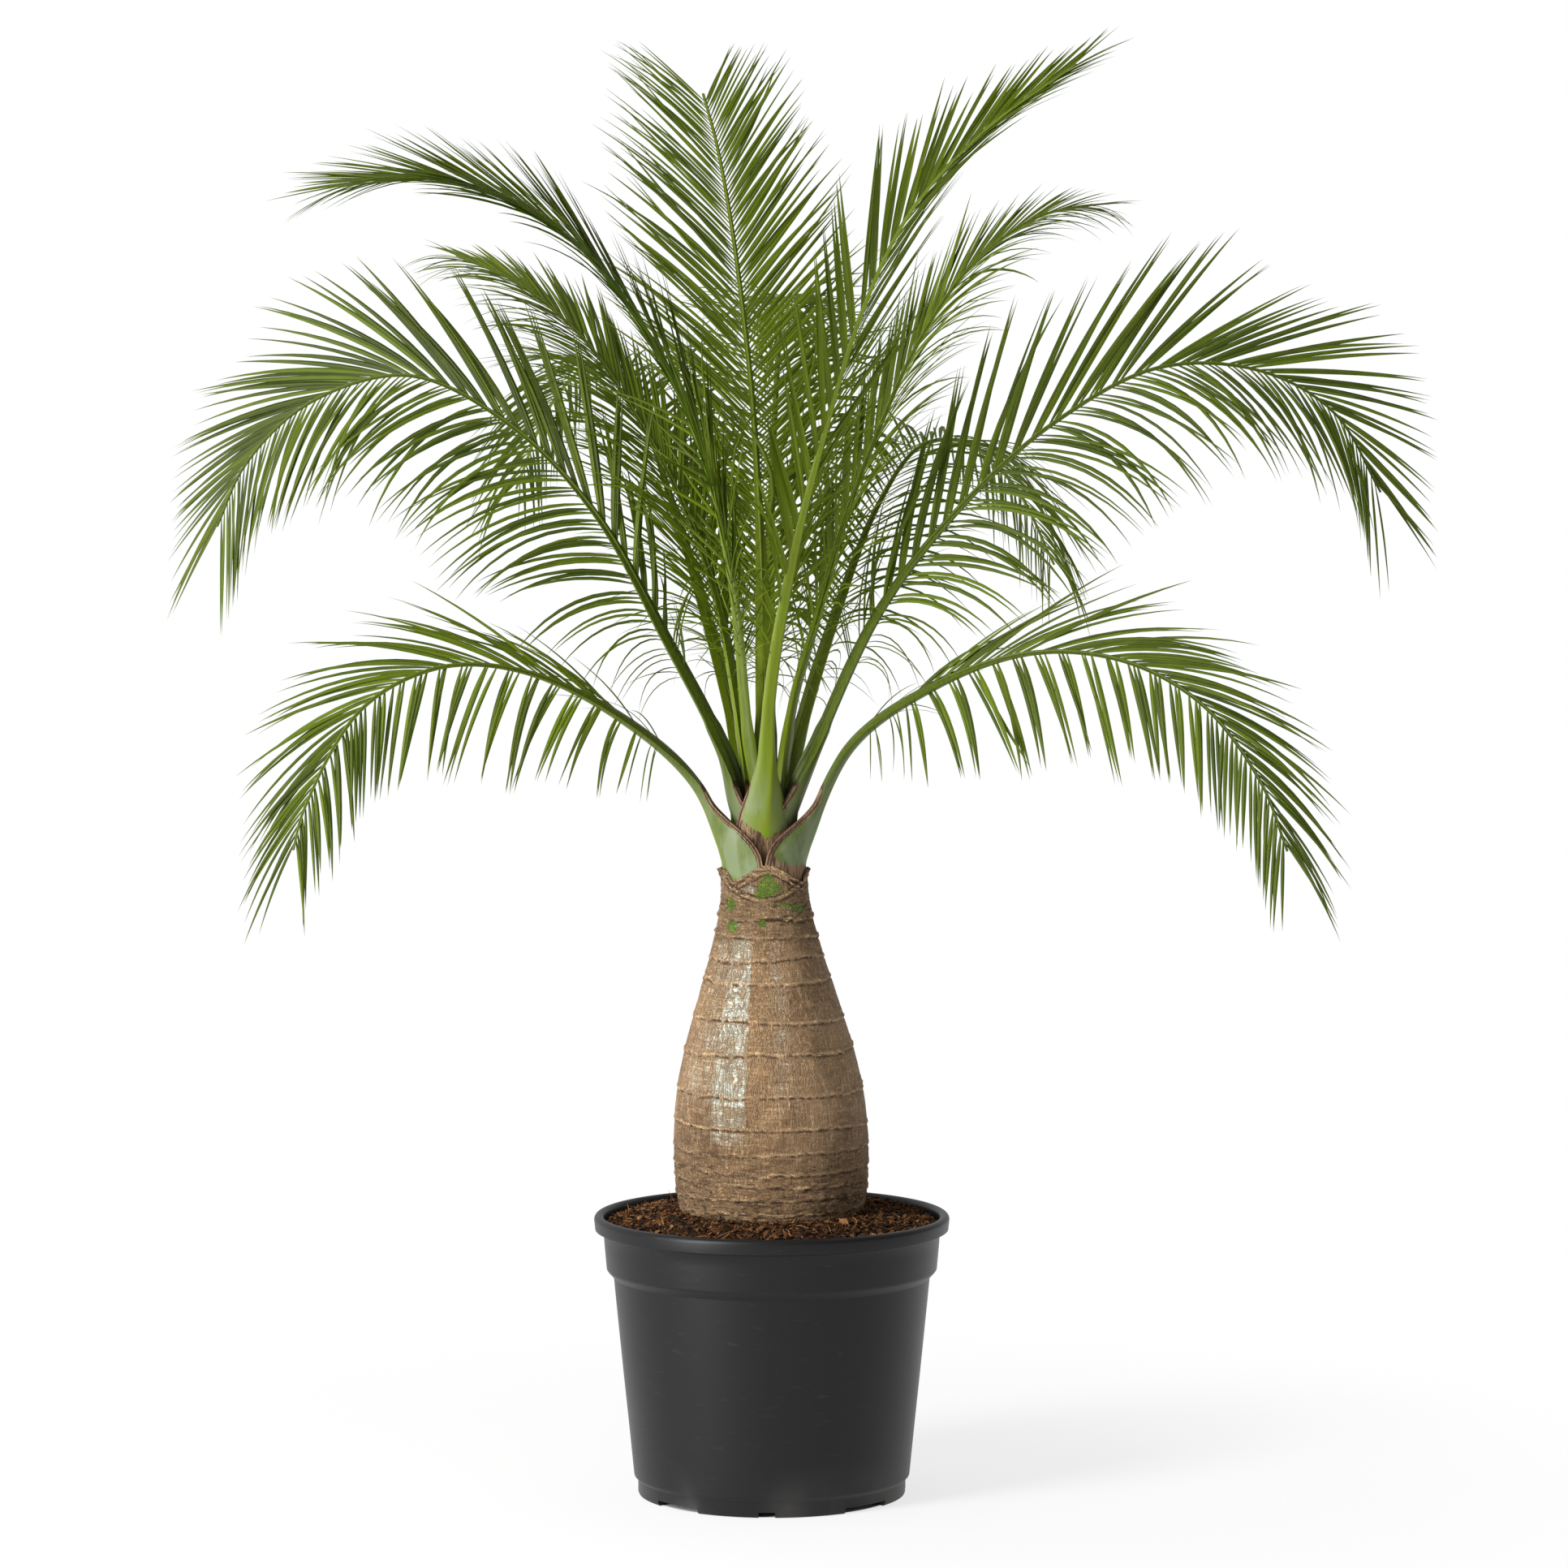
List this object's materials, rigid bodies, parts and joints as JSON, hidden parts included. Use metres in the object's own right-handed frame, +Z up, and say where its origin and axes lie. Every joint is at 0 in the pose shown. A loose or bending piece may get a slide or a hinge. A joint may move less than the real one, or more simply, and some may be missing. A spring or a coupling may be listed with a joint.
{
  "type": "potted bottle palm",
  "caption": "Young palm with a swollen bottle trunk and arching feathered fronds, in a round black nursery pot.",
  "frame": {"origin": "middle of the pot's underside, on the surface that the pot stands on", "axes": "+Z up, +X to the viewer's right, -Y towards the viewer"},
  "size_m": [1.0809, 0.7033, 1.2336],
  "materials": {
    "black_plastic": "satin",
    "potting_mix": "matte",
    "bark": "matte",
    "leaf_green": "satin"
  },
  "bodies": {
    "root": {"pot": "black_plastic", "soil": "potting_mix", "trunk": "bark", "frond_01": "leaf_green", "frond_02": "leaf_green", "frond_03": "leaf_green", "frond_04": "leaf_green", "frond_05": "leaf_green", "frond_06": "leaf_green", "frond_07": "leaf_green", "frond_08": "leaf_green", "frond_09": "leaf_green", "frond_10": "leaf_green", "frond_11": "leaf_green", "frond_12": "leaf_green"}
  },
  "joints": []
}
